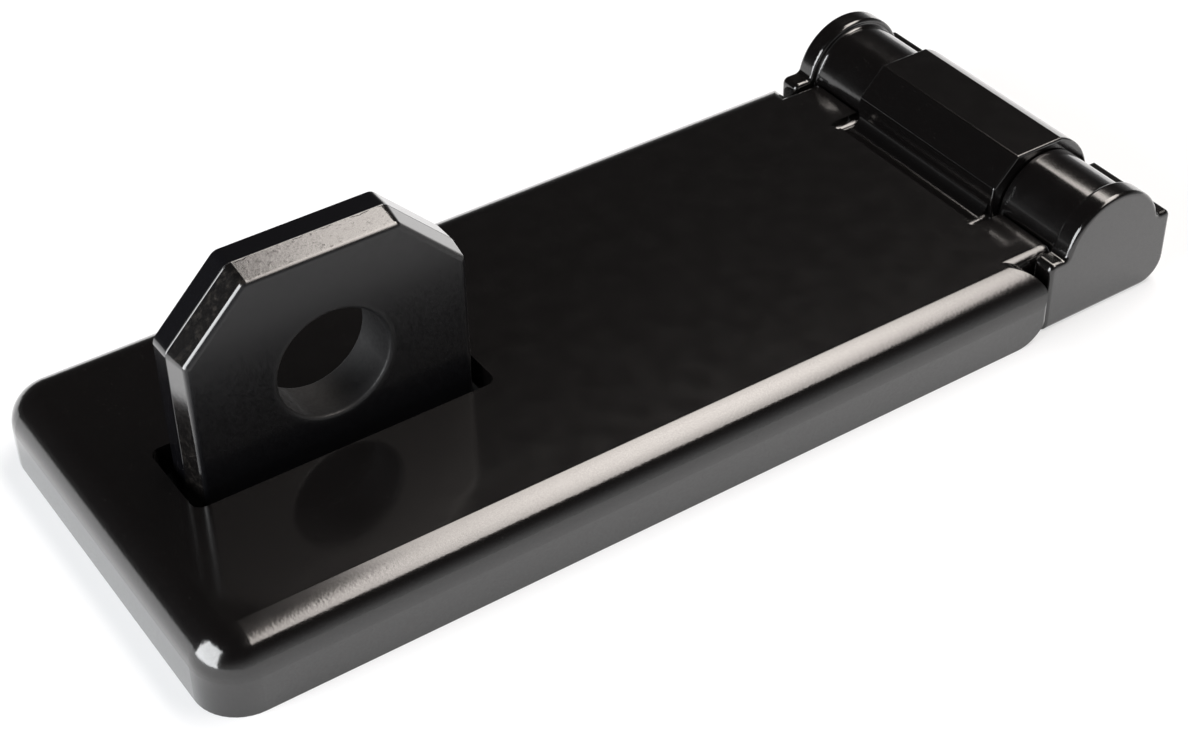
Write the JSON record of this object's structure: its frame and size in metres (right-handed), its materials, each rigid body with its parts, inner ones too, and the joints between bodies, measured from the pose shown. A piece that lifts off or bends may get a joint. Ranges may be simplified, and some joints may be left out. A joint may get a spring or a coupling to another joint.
{
  "type": "hasp and staple",
  "caption": "Heavy hasp with a rounded steel flap on a concealed-pin hinge that closes over a thick octagonal staple for a padlock shackle.",
  "frame": {"origin": "middle of the closed hasp's footprint on the mounting surface", "axes": "+X from the free end towards the hinge, +Y across the flap, +Z out of the mounting surface"},
  "size_m": [0.15, 0.062, 0.0385],
  "materials": {
    "flap_coating": "smooth glossy black coating on forged steel",
    "bracket_coating": "glossy black coating on steel",
    "staple_coating": "glossy black coating over hardened steel with a sheared edge",
    "pin_steel": "ground hardened steel"
  },
  "bodies": {
    "base": {"hinge_bracket": "bracket_coating", "hinge_pin": "pin_steel", "staple": "staple_coating", "staple_plate": "bracket_coating"},
    "cover": {"flap": "flap_coating"}
  },
  "joints": [
    {"name": "flap_hinge", "type": "hinge", "parent": "base", "child": "cover", "pos_m": [0.0642, 0, 0.0095], "axis": [0, 1, 0], "range_deg": [0, 150]}
  ]
}
